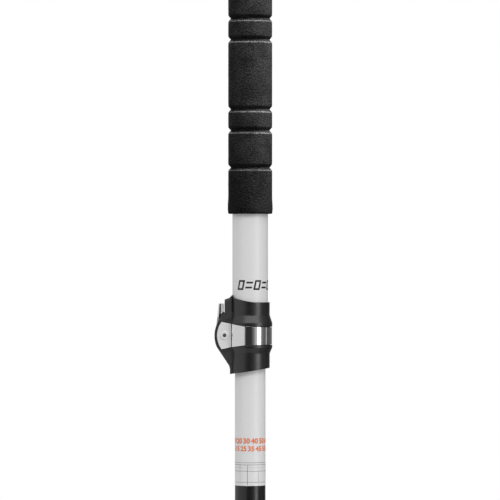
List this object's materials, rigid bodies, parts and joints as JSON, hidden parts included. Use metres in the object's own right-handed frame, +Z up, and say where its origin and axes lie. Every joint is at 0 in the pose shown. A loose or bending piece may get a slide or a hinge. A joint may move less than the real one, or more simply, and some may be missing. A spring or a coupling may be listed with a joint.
{
  "type": "avalanche probe",
  "caption": "Telescoping probe pole with a ringed foam grip, palm knob, cam-lever clamp, sliding lower tube and steel point.",
  "frame": {"origin": "the probe's point, which is zero on its depth scale", "axes": "+Z up the pole to the palm knob, -X towards the lock's lever, +Y to the back"},
  "size_m": [0.038, 0.038, 0.7535],
  "materials": {
    "white_aluminium": "satin white enamel on aluminium",
    "foam": "closed-cell foam, fine grain",
    "black_nylon": "moulded black nylon, low sheen",
    "soft_rubber": "soft matt rubber",
    "polished_steel": "polished stainless strip",
    "steel": "satin steel",
    "cast_aluminium": "cast and tumbled aluminium",
    "brass": "turned brass",
    "clear_nylon": "natural nylon"
  },
  "bodies": {
    "upper_section": {"upper_tube": "white_aluminium", "foam_extension": "foam", "hand_grip": "foam", "head_insert": "black_nylon", "threaded_insert": "brass", "palm_knob": "black_nylon", "knob_screw": "steel", "knob_pad": "soft_rubber", "lanyard_bush": "cast_aluminium", "clamp_housing": "black_nylon", "bearing_plate": "steel"},
    "band": {"clamp_band": "polished_steel", "pivot_screw": "steel", "pivot_nut": "steel"},
    "lever": {"cam_lever": "cast_aluminium"},
    "guide": {"guide_bush": "clear_nylon"},
    "lower_section": {"lower_tube": "white_aluminium", "end_plug": "black_nylon", "tip_holder": "black_nylon", "probe_point": "steel"}
  },
  "joints": [
    {"name": "band_slide", "type": "slide", "parent": "upper_section", "child": "band", "axis": [1, 0, 0], "range_m": [0, 0.00035]},
    {"name": "lever_hinge", "type": "hinge", "parent": "band", "child": "lever", "pos_m": [-0.013, 0, 0.226], "axis": [0, -1, 0], "range_deg": [0, 100]},
    {"name": "lower_slide", "type": "slide", "parent": "upper_section", "child": "guide", "axis": [0, 0, -1], "range_m": [0, 0.4]},
    {"name": "lower_twist", "type": "hinge", "parent": "guide", "child": "lower_section", "pos_m": [0, 0, 0.226], "axis": [0, 0, 1], "continuous": true}
  ],
  "couplings": [
    {"joint": "band_slide", "follows": "lever_hinge", "m_per_rad": 0.0002}
  ]
}
